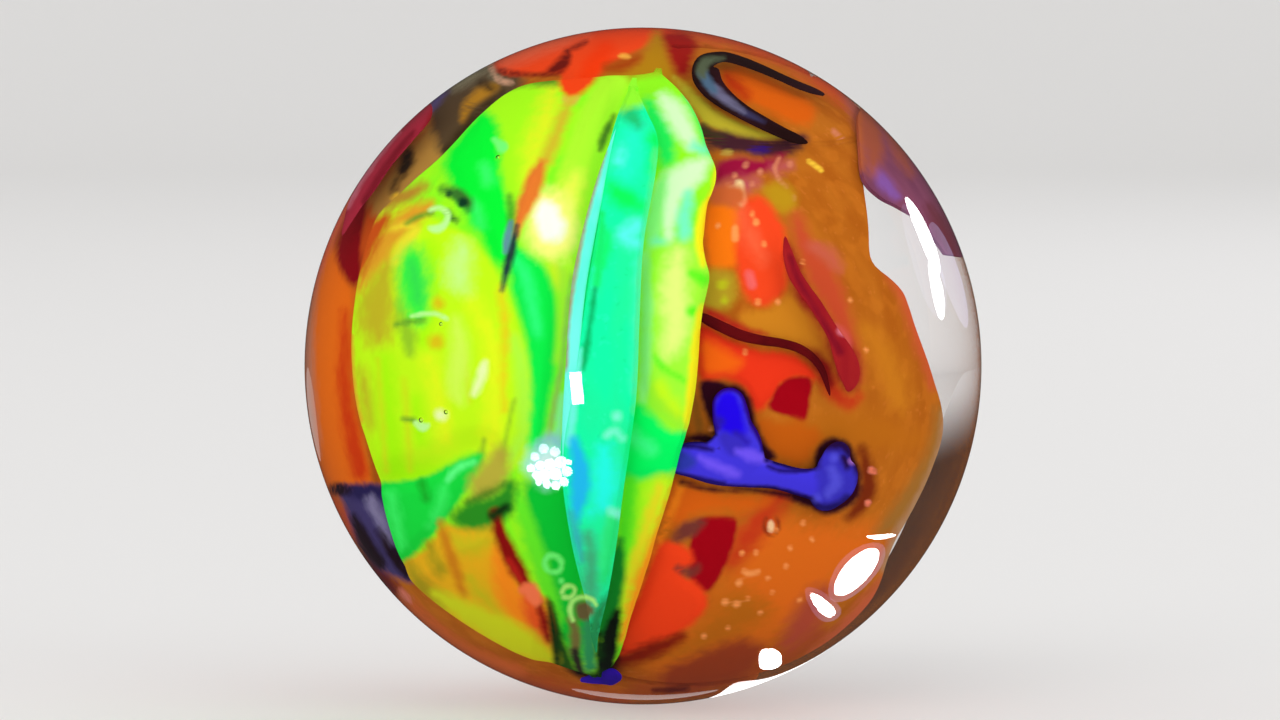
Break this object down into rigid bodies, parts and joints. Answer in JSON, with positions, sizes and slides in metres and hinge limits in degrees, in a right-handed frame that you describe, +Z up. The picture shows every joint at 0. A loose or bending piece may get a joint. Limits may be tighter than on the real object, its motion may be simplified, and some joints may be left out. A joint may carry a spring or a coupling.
{
  "type": "glass marble",
  "caption": "Clear glass ball with pole-to-pole swirls of amber, lime, green and turquoise glass inside, a cobalt scroll and dark curl; ornament or paperweight.",
  "frame": {"origin": "centre of the ball", "axes": "+Z up as it is displayed, along the mount's axis reversed; the front, with the lime sheet, faces -Y; the swirl's axis leans 5 degrees to +X and 6 degrees to +Y"},
  "size_m": [0.038, 0.038, 0.038],
  "materials": {
    "clear_glass": "clear, polished",
    "amber_ground": "amber to orange, cloudy",
    "red_patches": "orange red",
    "khaki_bands": "smoky khaki",
    "violet_wedges": "violet, see-through",
    "crimson_streaks": "deep crimson",
    "maroon_thread": "almost black maroon",
    "dark_curl": "almost black",
    "slate_core": "slate blue grey",
    "cobalt_scroll": "cobalt blue",
    "cobalt_dot": "cobalt blue",
    "lime_sheet": "lime, bright",
    "green_bands": "emerald green",
    "yellow_petals": "yellow lime",
    "orange_streaks": "golden orange",
    "turquoise_petal": "turquoise green",
    "cyan_thread": "pale cyan"
  },
  "bodies": {
    "root": {"clear_glass": "clear_glass", "amber_ground": "amber_ground", "red_patches": "red_patches", "khaki_bands": "khaki_bands", "violet_wedges": "violet_wedges", "crimson_streaks": "crimson_streaks", "maroon_thread": "maroon_thread", "dark_curl": "dark_curl", "slate_core": "slate_core", "cobalt_scroll": "cobalt_scroll", "cobalt_dot": "cobalt_dot", "lime_sheet": "lime_sheet", "green_bands": "green_bands", "yellow_petals": "yellow_petals", "orange_streaks": "orange_streaks", "turquoise_petal": "turquoise_petal", "cyan_thread": "cyan_thread"}
  },
  "joints": []
}
